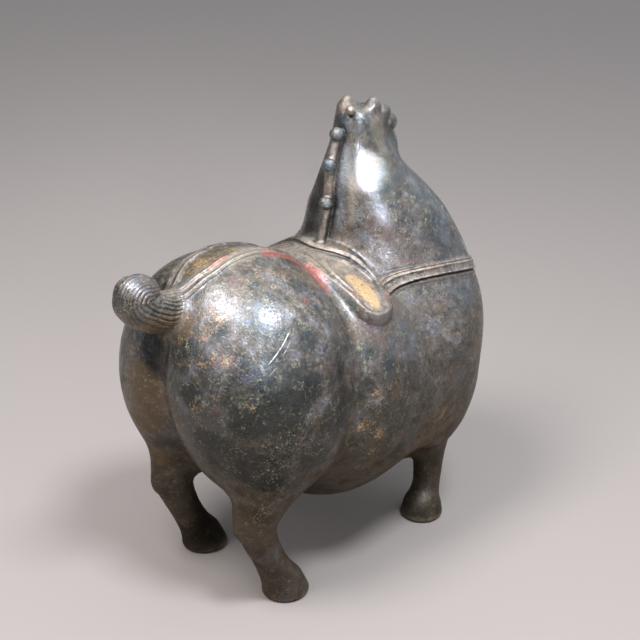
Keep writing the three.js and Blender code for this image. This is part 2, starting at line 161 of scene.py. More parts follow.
def ellipsoid(p, shape):
    """A mass of a centre and three half sizes."""
    at, half = np.array(shape, float)
    q = (p - at) / half
    reach = length(q)
    return reach * (reach - 1) / np.maximum(length(q / half), 1e-9)


def round_cone(p, a, b):
    """A cone with round ends between two rows of x, y, z, radius."""
    axis = b[:3] - a[:3]
    length2 = axis @ axis
    taper = a[3] - b[3]
    slant2 = max(length2 - taper * taper, 1e-9)
    from_a = p - a[:3]
    down = from_a @ axis
    past = down - length2
    side2 = ((from_a * length2 - down[:, None] * axis) ** 2).sum(1)
    edge = np.sign(taper) * taper * taper * side2
    before = np.sqrt(side2 + down**2 * length2) / length2 - a[3]
    beyond = np.sqrt(side2 + past**2 * length2) / length2 - b[3]
    beside = (np.sqrt(side2 * slant2 / length2) + down * taper) / length2 - a[3]
    is_beyond = np.sign(past) * slant2 * past**2 * length2 > edge
    is_before = np.sign(down) * slant2 * down**2 * length2 < edge
    return np.where(is_beyond, beyond, np.where(is_before, before, beside))


def along(rows, places):
    """Smooth values through rows that each start with their place along the line."""
    rows = np.array(rows, float)
    run = rows[:, 0]
    ahead = np.minimum(np.arange(len(rows)) + 1, len(rows) - 1)
    behind = np.maximum(np.arange(len(rows)) - 1, 0)
    slopes = (rows[ahead] - rows[behind]) / (run[ahead] - run[behind])[:, None]
    i = np.clip(np.searchsorted(run, places, "left"), 1, len(rows) - 1)
    a, b = rows[i - 1], rows[i]
    span = (run[i] - run[i - 1])[:, None]
    t = (np.asarray(places, float) - run[i - 1])[:, None] / span
    ease = t * t * (3 - 2 * t)
    return a + ease * (b - a) + span * t * (1 - t) * ((1 - t) * slopes[i - 1] - t * slopes[i])


class Member:
    """A bent round member through rows of x, y, z, radius."""

    CLEAR = 16.0

    def __init__(self, stations, pieces=12):
        stations = np.array(stations, float)
        steps = length(np.diff(stations[:, :3], axis=0))
        run = np.concatenate([[0], np.cumsum(steps)])
        rows = np.column_stack([run, stations])
        self.joints = along(rows, np.linspace(0, run[-1], pieces + 1))[:, 1:]
        self.middle = self.joints[pieces // 2, :3]
        self.reach = (length(self.joints[:, :3] - self.middle) + self.joints[:, 3]).max()

    def __call__(self, p):
        distance = length(p - self.middle) - self.reach
        near = distance <= self.CLEAR
        q = p[near]
        nearest = np.full(len(q), np.inf)
        for a, b in zip(self.joints, self.joints[1:]):
            nearest = np.minimum(nearest, round_cone(q, a, b))
        distance[near] = nearest
        return distance


NECK_LEVELS = along(NECK, np.arange(NECK[0][0], NECK[-1][0] + 1))


def neck(p):
    """A stack of ellipses by height, whose slope gives the true distance."""
    low, high = NECK_LEVELS[0, 0], NECK_LEVELS[-1, 0]
    level = np.clip(p[:, 2] - low, 0, len(NECK_LEVELS) - 1.001)
    floor = level.astype(int)
    under, over = NECK_LEVELS[floor], NECK_LEVELS[floor + 1]
    row = under + (level - floor)[:, None] * (over - under)
    lean = over[:, 2] - under[:, 2]
    side = np.hypot((p[:, 0] - row[:, 1]) / row[:, 2], p[:, 1] / row[:, 3]) - 1
    side *= np.minimum(row[:, 2], row[:, 3])
    return np.maximum(side / np.sqrt(1 + lean * lean), np.maximum(p[:, 2] - high, low - p[:, 2]))


def mirrored(p):
    """Every point on the left side, so that a left member makes both."""
    return np.column_stack([p[:, 0], np.abs(p[:, 1]), p[:, 2]])


def spine(x):
    """The middle line of the rump, which swings to the left towards the tail."""
    return SWAY * rise(-x, -15, 60)


hind_leg = Member(HIND_LEG)
fore_leg = Member(FORE_LEG)
tail = Member(TAIL)
ridge = Member(RIDGE)
skull = Member(SKULL)
jaw = Member(JAW, 6)
ear = Member(EAR, 6)


def head_frame(p):
    """Points seen from the poll: forward, to the side, up."""
    d = p - POLL
    forward = d[:, 0] * math.cos(HEAD_TURN) + d[:, 1] * math.sin(HEAD_TURN)
    side = np.abs(d[:, 0] * math.sin(HEAD_TURN) - d[:, 1] * math.cos(HEAD_TURN))
    return np.column_stack([forward, side, d[:, 2]])


def head(p):
    """The turned head: skull, jaw, cheeks, brows, eyes, nostrils, mouth and ears."""
    distance = length(p - POLL) - HEAD_REACH
    near = distance <= Member.CLEAR
    q = head_frame(p[near])
    d = soft_union(skull(q), jaw(q), BLEND["jaw"])
    d = soft_union(d, ellipsoid(q, CHEEK), BLEND["cheek"])
    d = soft_union(d, ellipsoid(q, BROW), BLEND["brow"])
    d = soft_union(d, ellipsoid(q, EYE), BLEND["eye"])
    d = soft_union(d, ellipsoid(q, NOSTRIL), BLEND["nostril"])
    d = soft_cut(d, ellipsoid(q, NOSTRIL_HOLE), BLEND["nostril_hole"])
    lip = q[:, 2] - MOUTH["from"][1] - MOUTH["slope"] * (q[:, 0] - MOUTH["from"][0])
    lip /= math.hypot(1, MOUTH["slope"])
    opening = rise(q[:, 0], MOUTH["from"][0] - MOUTH["fade"], MOUTH["from"][0])
    d += MOUTH["depth"] * opening * line(lip, MOUTH["half"])
    d = soft_union(d, ellipsoid(q, POLL_TOP), BLEND["poll"])
    distance[near] = soft_union(d, ear(q), BLEND["ear"])
    return distance


def saddle_inside(p):
    """How far inside the saddle's outline a point lies, and how far it is from the top."""
    chord = np.hypot(p[:, 1], np.maximum(SADDLE["top"] - p[:, 2], 0))
    beyond = np.maximum(chord - SADDLE["drop"], 0)
    half = SADDLE["half"] - SADDLE["taper"] * rise(chord, SADDLE["narrows_from"], SADDLE["drop"])
    from_side = half - np.hypot(p[:, 0] - SADDLE["x"], beyond)
    return soft_union(from_side, SADDLE["pommel"] - p[:, 2], BLEND["pommel"]), chord


def saddle_relief(p):
    """How far the saddle stands out: a pad that swells towards its tips, and its raised rim."""
    inside, chord = saddle_inside(p)
    width, edge = SADDLE["rim_width"], SADDLE["edge"]
    pad = SADDLE["pad"] + SADDLE["tip"] * rise(chord, *SADDLE["swell"])
    rim = rise(inside, 0, edge) * rise(width - inside, 0, edge)
    raised = pad * rise(inside, -SADDLE["slope"], edge) + SADDLE["rim"] * rim
    return raised + scored(inside - width, SADDLE_LINES)


def breast_strap_off(p):
    """How far above the middle of the breast strap a point lies."""
    return p[:, 2] - BREAST_STRAP["z"] + ((p[:, 0] - BREAST_STRAP["crest"]) / BREAST_STRAP["bow"]) ** 2


def breast_strap_relief(p):
    off = breast_strap_off(p)
    band = BREAST_STRAP["height"] * rise(BREAST_STRAP["half"] - np.abs(off), *BREAST_STRAP["edge"])
    start = BREAST_STRAP["start"]
    return (band + scored(off, BREAST_STRAP_LINES)) * rise(p[:, 0], start - 1, start)


def crupper_off(p):
    """How far a point lies from the middle of the nearer rump strap, and 1 where the straps run."""
    start, end, fade = CRUPPER["start"], CRUPPER["end"], CRUPPER["fade"]
    x = p[:, 0]
    share = np.clip((x - start) / CRUPPER["widen"], 0, 1)
    spread = CRUPPER["spread"] * share ** CRUPPER["curve"]
    slant = np.where(share < 1, CRUPPER["curve"] * spread / np.maximum(x - start, 1), 0)
    off = np.abs(np.abs(p[:, 1] - spine(x) - CRUPPER["shift"]) - spread) / np.hypot(1, slant)
    there = rise(x - start, 0, fade) * rise(end - x, 0, fade) * (p[:, 2] > CRUPPER["low"])
    return off, there


def crupper_relief(p):
    off, there = crupper_off(p)
    band = CRUPPER["height"] * rise(CRUPPER["half"] - off, *CRUPPER["edge"])
    return there * (band + scored(off, CRUPPER_LINES))


def parted(y):
    """The distance from a middle plane, held off zero so that two sides meet in a soft valley."""
    return np.sqrt(y * y + CLEFT["round"] ** 2 * line(y, CLEFT["width"]))


def cleft_relief(p):
    """How much the cleft between the haunches takes away below the tail."""
    off = p[:, 1] - spine(p[:, 0]) - CLEFT["shift"]
    there = rise(-p[:, 0], *CLEFT["back"]) * rise(-p[:, 2], *CLEFT["under"])
    return CLEFT["depth"] * line(off, CLEFT["half"]) * there


def rump_and_front(p):
    """The two great masses of the body, with the neck on the front one."""
    bent = np.column_stack([p[:, 0], parted(p[:, 1] - spine(p[:, 0])), p[:, 2]])
    rump = soft_union(ellipsoid(bent, CROUP), ellipsoid(bent, HAUNCH), BLEND["haunches"])
    front = soft_union(ellipsoid(p, BARREL), ellipsoid(p, CHEST), BLEND["chest"])
    return rump, soft_union(front, neck(p), BLEND["neck"])


def without_tail(p):
    """The body with its harness, legs, head and mane."""
    rump, front = rump_and_front(p)
    by_front = np.abs(front) < HARNESS_REACH
    front[by_front] -= saddle_relief(p[by_front]) + breast_strap_relief(p[by_front])
    by_rump = np.abs(rump) < HARNESS_REACH
    rump[by_rump] -= crupper_relief(p[by_rump])
    legs = mirrored(p)
    hind_legs = np.column_stack([p[:, 0], parted(p[:, 1]), p[:, 2]])
    d = soft_union(rump, front, BLEND["rump"])
    d = soft_union(d, hind_leg(hind_legs), BLEND["hind_legs"])
    d += cleft_relief(p)
    d = soft_union(d, ellipsoid(legs, HOCK), BLEND["hocks"])
    d = soft_union(d, fore_leg(legs), BLEND["fore_legs"])
    d += ARMPIT["depth"] * line(length(legs - ARMPIT["at"]), ARMPIT["round"])
    d = soft_union(d, head(p), BLEND["head"])
    d = soft_union(d, ridge(p), BLEND["ridge"])
    for x, y, z, radius in TUFTS:
        d = soft_union(d, ellipsoid(p, ((x, y, z), (radius,) * 3)), BLEND["tuft"])
    return d


def horse(p):
    """The whole figure, cut off flat where it stands."""
    d = soft_union(without_tail(p), tail(p), BLEND["tail"])
    return soft_cut(d, p[:, 2], BLEND["sole"])


# Fine work that is chased into the surface after casting
TAIL_STEPS = 80
STRANDS = {
    "count": 26, "depth": 1.0, "start": 0.8, "full": 2.8, "wander": 0.022, "wave": (1.4, 5),
    "fine": 0.08, "fine_in_each": 3, "smoother": 0.6, "outer_side": (-0.2, 0.7), "level": 0.6,
    "near": 2, "behind": -66,
}
COMBING = {"pitch": 1.15, "depth": 0.28, "begins": (0.2, 1.0), "ends": (3.2, 7.0), "lean": 0.9, "top": 224}
MANE_GROOVE = [(0.9, -0.3, 0.45)]
DENTS = [(13.0, 0.16), (5.0, 0.05)]

# Longest edge of the mesh: on plain metal and where there is fine work
REFINE_ROUNDS = 6
TRIANGLES = 196000
EDGE = {"plain": 3.2, "crease": 1.8, "sole": 1.4, "head": 1.25, "lines": 0.62, "mane": 0.62, "tail": 0.5}

# How far round each form the finer mesh reaches, and the bands beside a middle or a rim that hold fine lines
REACH = {
    "crease": 4, "sole": 3, "head": 0.8, "front": 3, "rump": 2, "mane": 5.5, "mane_top": 232, "tuft": 1.5,
    "tail": 1, "behind": -70,
}
BANDS = {"saddle": (-1.6, 4.4), "breast_strap": (0.8, 5.4), "crupper": (1.0, 4.0)}

# How points are drawn onto the surface: the least slope trusted, the longest step, and how much they even out
SETTLE = {"slope": 0.45, "step": 0.6, "even": 0.5}


def tail_frame(p):
    """The angle of each point round the tail, measured from its outer side, and its place along it."""
    path = Member(TAIL, TAIL_STEPS).joints
    nearest = np.argmin(((p[:, None, :] - path[None, :, :3]) ** 2).sum(2), axis=1)
    tangent = np.gradient(path[:, :3], axis=0)
    tangent /= length(tangent)[:, None]
    outward = np.column_stack([-tangent[:, 2], 0 * tangent[:, 0], tangent[:, 0]])
    offset = p - path[nearest, :3]
    up = (offset * outward[nearest]).sum(1)
    return np.arctan2(offset[:, 1], up), nearest / TAIL_STEPS


def strand_relief(p):
    """Round strands that run the length of the tail, worn smoother on its outer side."""
    angle, run = tail_frame(p)
    around, along_it = STRANDS["wave"]
    round_tail = np.column_stack([around * np.cos(angle), around * np.sin(angle), along_it * run])
    drift = np.array([noise.noise(Vector(q)) for q in round_tail])
    turn = angle / (2 * math.pi) + STRANDS["wander"] * drift
    across = np.mod(turn * STRANDS["count"], 1) * 2 - 1
    fine = STRANDS["fine"] * np.cos(2 * math.pi * STRANDS["fine_in_each"] * STRANDS["count"] * turn)
    depth = STRANDS["depth"] * (1 - STRANDS["smoother"] * rise(np.cos(angle), *STRANDS["outer_side"]))
    return depth * (np.sqrt(np.maximum(1 - across * across, 0)) - STRANDS["level"]) + fine


def combed_share(away):
    """How strongly the metal is combed at a distance from the mane."""
    return rise(away, *COMBING["begins"]) * (1 - rise(away, *COMBING["ends"]))


def combing_relief(p):
    """Short slanting strokes of combed hair on both sides of the mane, and the groove along its foot."""
    away = ridge(p)
    stroke = (p[:, 2] + COMBING["lean"] * np.abs(p[:, 1])) / COMBING["pitch"]
    cut = 0.5 - 0.5 * np.cos(2 * math.pi * stroke)
    return scored(away, MANE_GROOVE) - COMBING["depth"] * combed_share(away) * cut**2


def dent_relief(p):
    """The slow unevenness of wax worked by hand."""
    relief = np.zeros(len(p))
    for wave, depth in DENTS:
        relief += depth * np.array([noise.noise(Vector(q)) for q in p / wave])
    return relief


def fine_relief(p):
    """All that is chased or worked into the metal, as a height above the smooth form."""
    relief = dent_relief(p)
    on_tail = (tail(p) < STRANDS["near"]) & (p[:, 0] < STRANDS["behind"])
    clear = rise(without_tail(p[on_tail]), STRANDS["start"], STRANDS["full"])
    relief[on_tail] += clear * strand_relief(p[on_tail])
    by_mane = (ridge(p) < COMBING["ends"][1]) & (p[:, 2] < COMBING["top"])
    relief[by_mane] += combing_relief(p[by_mane])
    return relief


def longest_edge(p):
    """How long an edge may be at each point. Where forms meet, the later one in the list holds."""
    rump, front = rump_and_front(p)
    inside, _ = saddle_inside(p)
    off, there = crupper_off(p)
    by_breast_strap = within(np.abs(breast_strap_off(p)), *BANDS["breast_strap"])
    lines = (p[:, 2] > SADDLE["low"]) & within(inside, *BANDS["saddle"])
    lines |= (p[:, 0] > BREAST_STRAP["start"]) & by_breast_strap & (inside < 0)
    lines &= front < REACH["front"]
    lines |= (rump < REACH["rump"]) & (there > 0) & within(off, *BANDS["crupper"])
    wanted = np.full(len(p), EDGE["plain"])
    wanted[np.abs(rump - front) < REACH["crease"]] = EDGE["crease"]
    wanted[p[:, 2] < REACH["sole"]] = EDGE["sole"]
    wanted[head(p) < REACH["head"]] = EDGE["head"]
    wanted[lines] = EDGE["lines"]
    wanted[(ridge(p) < REACH["mane"]) & (p[:, 2] < REACH["mane_top"])] = EDGE["mane"]
    wanted[length(p - TOP_TUFT[:3]) < TOP_TUFT[3] + REACH["tuft"]] = EDGE["mane"]
    wanted[(tail(p) < REACH["tail"]) & (p[:, 0] < REACH["behind"])] = EDGE["tail"]
    return wanted


def points_of(mesh):
    """Every vertex in millimetres, in the frame that the figure was modelled in."""
    flat = np.empty(len(mesh.vertices) * 3)
    mesh.vertices.foreach_get("co", flat)
    return flat.reshape(-1, 3) / MM + ORIGIN


def move_points(mesh, p):
    """Puts every vertex at its new place, given in the modelling frame."""
    mesh.vertices.foreach_set("co", ((p - ORIGIN) * MM).ravel())
    mesh.update()


def edges_of(mesh):
    """The two vertices of every edge."""
    flat = np.empty(len(mesh.edges) * 2, int)
    mesh.edges.foreach_get("vertices", flat)
    return flat.reshape(-1, 2)


def neighbours_mean(p, edges):
    """The mean place of each vertex's neighbours."""
    ends = np.concatenate([edges, edges[:, ::-1]])
    count = np.bincount(ends[:, 0], minlength=len(p))
    total = np.column_stack([np.bincount(ends[:, 0], p[ends[:, 1], q], len(p)) for q in range(3)])
    return total / np.maximum(count, 1)[:, None]


def value_and_slope(p, step=0.04):
    """The horse's distance at each point and the way that it grows."""
    value = horse(p)
    columns = []
    for axis in range(3):
        shift = np.zeros(3)
        shift[axis] = step
        columns.append((horse(p + shift) - value) / step)
    return value, np.column_stack(columns)


def settle(p):
    """Moves each point onto the surface, and gives the way out of the metal there."""
    value, slope = value_and_slope(p)
    steep = length(slope)
    outward = slope / np.maximum(steep, 1e-6)[:, None]
    pull = np.clip(value / np.maximum(steep, SETTLE["slope"]), -SETTLE["step"], SETTLE["step"])
    return p - pull[:, None] * outward, outward


def relax(p, edges, outward):
    """Evens out the points within the surface."""
    shift = SETTLE["even"] * (neighbours_mean(p, edges) - p)
    return p + shift - (shift * outward).sum(1)[:, None] * outward


def only(obj):
    """Makes one object active and selected, with everything else deselected."""
    bpy.ops.object.select_all(action="DESELECT")
    obj.select_set(True)
    bpy.context.view_layer.objects.active = obj


def split_long_edges(piece):
    """Halves every edge that is longer than it may be where it lies."""
    mesh = piece.data
    p = points_of(mesh)
    edges = edges_of(mesh)
    span = length(p[edges[:, 0]] - p[edges[:, 1]])
    bpy.ops.object.mode_set(mode="EDIT")
    bpy.context.tool_settings.mesh_select_mode = (False, True, False)
    bpy.ops.mesh.select_all(action="DESELECT")
    bpy.ops.object.mode_set(mode="OBJECT")
    mesh.edges.foreach_set("select", span > longest_edge(p[edges].mean(1)))
    bpy.ops.object.mode_set(mode="EDIT")
    bpy.ops.mesh.subdivide(number_cuts=1, ngon=False)
    bpy.ops.mesh.select_all(action="SELECT")
    bpy.ops.mesh.quads_convert_to_tris(quad_method="SHORTEST_DIAGONAL")
    bpy.ops.mesh.beautify_fill(angle_limit=math.radians(60))
    bpy.ops.object.mode_set(mode="OBJECT")


def merged_copy(node, name):
    """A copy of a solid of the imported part, with its loose triangles joined at their corners."""
    piece = bpy.data.objects.new(name, node.data.copy())
    bpy.context.scene.collection.objects.link(piece)
    only(piece)
    bpy.ops.object.mode_set(mode="EDIT")
    bpy.ops.mesh.select_all(action="SELECT")
    bpy.ops.mesh.remove_doubles(threshold=0.002 * MM)
    bpy.ops.object.mode_set(mode="OBJECT")
    piece.data.materials.clear()
    return piece


def lighten(piece, triangles):
    """Takes out triangles where the metal is smooth."""
    modifier = piece.modifiers.new("lighten", "DECIMATE")
    modifier.ratio = triangles / len(piece.data.polygons)
    bpy.ops.object.modifier_apply(modifier=modifier.name)


def add_top_tuft(piece):
    """The tuft by itself between the ears, a ball set on the head."""
    place = (np.array(TOP_TUFT[:3]) - ORIGIN) * MM
    bpy.ops.object.select_all(action="DESELECT")
    bpy.ops.mesh.primitive_uv_sphere_add(segments=24, ring_count=16, radius=TOP_TUFT[3] * MM, location=place)
    piece.select_set(True)
    bpy.context.view_layer.objects.active = piece
    bpy.ops.object.join()


def make_casting(node):
    """The whole figure as one mesh: the solid's surface, refined, settled on the smooth forms and chased."""
    piece = merged_copy(node, "horse_casting")
    for _ in range(REFINE_ROUNDS):
        split_long_edges(piece)
        p, outward = settle(points_of(piece.data))
        move_points(piece.data, relax(p, edges_of(piece.data), outward))
    p, outward = settle(points_of(piece.data))
    p, outward = settle(p)
    p += fine_relief(p)[:, None] * outward
    p[:, 2] = np.maximum(p[:, 2], 0)
    move_points(piece.data, p)
    lighten(piece, TRIANGLES)
    add_top_tuft(piece)
    piece.data.shade_smooth()
    return piece


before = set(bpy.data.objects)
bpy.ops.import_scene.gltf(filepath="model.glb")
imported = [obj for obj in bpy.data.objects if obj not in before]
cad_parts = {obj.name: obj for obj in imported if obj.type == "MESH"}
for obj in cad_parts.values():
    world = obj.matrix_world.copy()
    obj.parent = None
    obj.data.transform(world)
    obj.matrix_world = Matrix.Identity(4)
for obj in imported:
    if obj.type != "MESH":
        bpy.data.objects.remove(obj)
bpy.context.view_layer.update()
casting = make_casting(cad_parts["horse"])
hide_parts("horse")
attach(casting, "root")


# Marks on the bronze: how much of each the hidden side mirrors, and its strokes of x, y, z, radius
MARKS = {
    # A dark green stain, which on the lower haunch and the flank also paints shade
    "moss_and_shade": (0.8, [
        [(-80, -24, 98, 10), (-64, -44, 84, 10)],
        [(-84, -16, 122, 6)],
        [(-57, -52, 118, 10), (-70, -36, 114, 10)],
        [(-46, -58, 126, 8)],
        [(19, 0, 176, 2.5), (16.5, 0, 166, 2.5)],
        [(30, -64, 96, 7), (14, -60, 68, 7)],
        [(-28, -58, 112, 8), (-45, -56, 90, 8)],
    ]),
    # Painted shadow: under the tail, in the crease before the haunch, on the far hind foot and on the far
    # side of the neck
    "painted_shadow": (0.8, [
        [(-79, 15, 143, 7), (-83, 14, 134, 8), (-86, 10, 122, 5)],
        [(-42, 31, 12, 14), (-55, 29, 40, 4)],
        [(-27, -48, 139, 1), (-26, -56, 126, 2), (-27, -60, 106, 2), (-31, -60, 88, 1)],
        [(27, 12, 192, 7), (21, 18, 172, 8)],
    ]),
    "pale": (0.8, [
        [(14, -2, 167, 6), (6, -10, 165, 7), (10, -22, 162, 5)],
        [(-60, 6, 170, 4), (-42, -3, 176, 5), (-25, -4, 174, 3)],
        [(46, -10, 222, 6), (48, -16, 212, 4)],
        [(48, -6, 230, 2), (48.5, -6, 234, 2)],
        [(41, 5, 230, 2), (41, 5, 234, 2)],
        [(28, -10, 204, 1), (26, -12, 188, 2), (23, -14, 178, 2)],
    ]),
    "rust": (0.5, [
        [
            (-27, -6, 175, 3), (-13, -8, 168, 3.6), (-4, -10, 161, 3.6), (-4, -18, 158, 3),
            (-7, -28, 154, 1.5),
        ],
        [(-55, 2, 173, 2), (-48, 2, 175, 2)],
        [(46, -41, 158, 0.5), (36, -36, 160, 0.5)],
        [(20, -42, 150, 1), (17, -46, 147, 0.5)],
        [(2, -33, 156, 0.5), (2, -41, 151, 0.5)],
    ]),
    "gold": (0.7, [
        [(8, -28, 158, 2), (8.5, -35, 155, 4.2), (8.5, -41, 152, 4.2), (8, -47, 147, 1.5)],
    ]),
    "ochre": (0.5, [
        [(-6, -59, 110, 2)],
        [(-13, -57, 94, 3)],
        [(-5, -61, 88, 3)],
        [(-7, -58, 77, 2)],
        [(45, -61, 82, 2), (45, -61, 77, 2)],
        [(5, -62, 113, 1)],
        [(-76, -30, 100, 3)],
        [(-72, -42, 122, 2)],
        [(-84, -18, 116, 3)],
        [(-54, 10, 172, 4)],
        [(-38, 4, 176, 3)],
        [(2, -36, 155, 1), (1, -42, 151, 1)],
    ]),
    # Steel grey on the mane strip and the tufts; the stroke at the flap's tip paints the sheen on its rounded
    # rim
    "steel": (0.8, [
        [(28, -5, 214, 2), (25, -6, 195, 2.5), (22, -7, 176, 3)],
        [(27.6, -0.5, 219.2, 3.8)],
        [(22.4, -0.5, 205, 3.7)],
        [(20.1, -0.5, 185.7, 3.7)],
        [(18, -46, 144, 2), (9, -48, 142, 3), (2, -44, 144, 2)],
    ]),
    "warm": (0.8, [
        [(-80, -19, 138, 3), (-74, -30, 141, 3)],
        [(-81, -28, 124, 2), (-83, -27, 117, 2)],
        [(-72, -38, 134, 2)],
        [(-57, -13, 167, 2), (-71, -13, 156, 3)],
        [(-66, -20, 158, 5), (-76, -14, 148, 4)],
        [(-40, -16, 171, 3), (-31, -21, 169, 4)],
        [(51, -16, 206, 2), (54, -22, 200, 1)],
        [(44, -29, 185, 3), (40, -32, 176, 2)],
        [(43, -35, 168, 2)],
        [(55, -36, 177, 3)],
        [(28, -40, 153, 2), (38, -40, 153, 1)],
        [(-1, -61, 106, 1), (-8, -60, 92, 2)],
        [(24, -12, 176, 1)],
        [(-33, -37, 159, 2)],
        [(4, -30, 158, 2), (3, -37, 154, 2)],
        [(40, -40, 156, 1), (62, -48, 148, 1)],
    ]),
    # Umber patches on the neck and rump; the stroke beside and below the flap's tip paints its shadow
    "umber": (0.8, [
        [(31, -24, 176, 5), (38, -31, 170, 4)],
        [(0, -46, 142, 6), (3, -52, 136, 5)],
        [(-52, -12, 170, 4), (-60, -20, 160, 2)],
    ]),
    # Brown stains on the tail and the rump; low on the far buttock this brown paints a warm reflection
    "brown": (0.8, [
        [(-78, -1, 150, 8), (-92, 2, 152, 7)],
        [(-57, 12, 170, 7), (-42, 6, 175, 7)],
        [(-84, 22, 112, 14), (-76, 27, 96, 12)],
        [(-70, 30, 70, 8)],
    ]),
    "bright": (0.8, [
        [(-1, -61, 108, 3), (-9, -60, 91, 4)],
        [(-60, -55, 100, 8), (-66, -46, 84, 6)],
        [(-40, -60, 100, 6)],
        [(-66, -42, 62, 4)],
        [(70, -56, 90, 7)],
    ]),
    "shade": (0.8, [
        [(-24, -44, 150, 10), (-27, -51, 138, 10)],
        [(9, -33, 157, 2), (8, -45, 150, 2)],
        [(-21, -36, 157, 7), (-27, -29, 165, 7)],
        [(40, -60, 110, 14), (10, -63, 104, 14)],
        [(50, -50, 135, 10)],
        [(-62, -45, 110, 16), (-52, -48, 80, 16)],
    ]),
}

# How a mark fades, from inside its strokes to outside them
MARK_FADE = (-3, 4)

# Wear, and dirt with painted shade in the hollows. Feeling for the metal at a distance, a flat place gives
# about 1, a hollow or an edge less
HOLLOW = {
    "feel": 3.5, "flat": 0.92, "gain": 1.6, "sunk": 1.5, "least": 0.1, "most": 0.6, "round_tuft": 0.7,
    "off_tuft": 0.05, "tuft_fade": (0.3, 1.0),
}
WORN = {
    "feel": 1.6, "flat": 0.94, "gain": 1.5, "raised": 2.5, "least": 0.2, "most": 0.5, "mane": 0.6,
    "mane_top": 230, "harness": 0.5, "crupper": 0.5, "saddle": 0.8,
}
# Where the rubbing fades beside the mane, beside each strap's middle and at the saddle's outline
RUBBED = {"mane": (0, 0.7), "breast_strap": (2.6, 3.8), "crupper": (2.8, 3.8), "saddle": (-0.5, 0.5)}
# How far a face looks up before dust lies on it, and the heights between which the neck is combed
FACES_UP = (0.35, 0.95)
HAIR = (168, 226)


def mark_strength(p, hidden_share, strokes):
    """1 inside the strokes, falling to 0 around them; the hidden left side carries their mirror image.

    A stroke of a single point runs from there to a hair's breadth beside it.
    """
    strength = np.zeros(len(p))
    for share, q in ((1, p), (hidden_share * (p[:, 1] > 0), p * (1, -1, 1))):
        for stroke in strokes:
            stroke = stroke if len(stroke) > 1 else stroke * 2
            nearest = np.full(len(q), np.inf)
            for a, b in zip(stroke, stroke[1:]):
                a, b = np.array(a, float), np.array(b, float) + (1e-3, 0, 0, 0)
                nearest = np.minimum(nearest, round_cone(q, a, b))
            strength = np.maximum(strength, share * (1 - rise(nearest, *MARK_FADE)))
    return strength


def store(mesh, name, values):
    """Keeps one value for each vertex, for the material to read."""
    mesh.attributes.new(name, "FLOAT", "POINT").data.foreach_set("value", values)


def harness_share(p):
    """How much of the rubbing on the harness each point gets."""
    off, there = crupper_off(p)
    inside, _ = saddle_inside(p)
    breast_strap = 1 - rise(np.abs(breast_strap_off(p)), *RUBBED["breast_strap"])
    breast_strap *= p[:, 0] > BREAST_STRAP["start"]
    crupper = WORN["crupper"] * there * (1 - rise(off, *RUBBED["crupper"]))
    saddle = WORN["saddle"] * rise(inside, *RUBBED["saddle"])
    return np.maximum(np.maximum(breast_strap, crupper), saddle)


def store_wear(piece):
    """Where the bronze is rubbed bright, where dirt and painted shade lie in the hollows, and where its
    stains and painted shadows lie.
    """
    p = points_of(piece.data)
    settled, outward = settle(p)
    above = horse(settled + HOLLOW["feel"] * outward) / HOLLOW["feel"]
    below = -horse(settled - WORN["feel"] * outward) / WORN["feel"]
    lift = ((p - settled) * outward).sum(1)
    away = ridge(p)
    from_tuft = length(p - TOP_TUFT[:3]) - TOP_TUFT[3]
    # The hollow value darkens creases, grooves and a ring round the top tuft: dirt and painted shade together
    hollow = np.clip(HOLLOW["gain"] * (HOLLOW["flat"] - above), 0, 1)
    hollow += np.clip(-HOLLOW["sunk"] * lift - HOLLOW["least"], 0, HOLLOW["most"])
    beside_tuft = (from_tuft > HOLLOW["off_tuft"]) * (1 - rise(from_tuft, *HOLLOW["tuft_fade"]))
    hollow += HOLLOW["round_tuft"] * beside_tuft
    worn = np.clip(WORN["gain"] * (WORN["flat"] - below), 0, 1)
    worn += np.clip(WORN["raised"] * lift - WORN["least"], 0, WORN["most"])
    worn += WORN["mane"] * (1 - rise(away, *RUBBED["mane"])) * (p[:, 2] < WORN["mane_top"])
    worn += WORN["harness"] * harness_share(p)
    store(piece.data, "hollow", np.clip(hollow, 0, 1))
    store(piece.data, "worn", np.clip(worn, 0, 1))
    store(piece.data, "combed", combed_share(away) * within(p[:, 2], *HAIR))
    store(piece.data, "upward", rise(outward[:, 2], *FACES_UP))
    for name, (hidden_share, strokes) in MARKS.items():
        store(piece.data, name, mark_strength(p, hidden_share, strokes))


store_wear(casting)


def linear(hex_colour):
    """An sRGB hex colour as linear red, green, blue and alpha."""
    parts = [int(hex_colour[i:i + 2], 16) / 255 for i in (1, 3, 5)]
    return [c / 12.92 if c <= 0.04045 else ((c + 0.055) / 1.055) ** 2.4 for c in parts] + [1]


def add(tree, kind, inputs=None, stops=(), out=0, **settings):
    """Adds a shader node with settings, inputs as values or links, and ramp stops, and gives one output."""
    made = tree.nodes.new("ShaderNode" + kind)
    for name, value in settings.items():
        setattr(made, name, value)
    for name, value in (inputs or {}).items():
        if isinstance(value, bpy.types.NodeSocket):
            tree.links.new(value, made.inputs[name])
        else:
            made.inputs[name].default_value = value
    for place, tint in stops:
        stop = made.color_ramp.elements.new(place)
        stop.color = linear(tint)
    if stops:
        made.color_ramp.elements.remove(made.color_ramp.elements[0])
        made.color_ramp.elements.remove(made.color_ramp.elements[-1])
    return made.outputs[out]


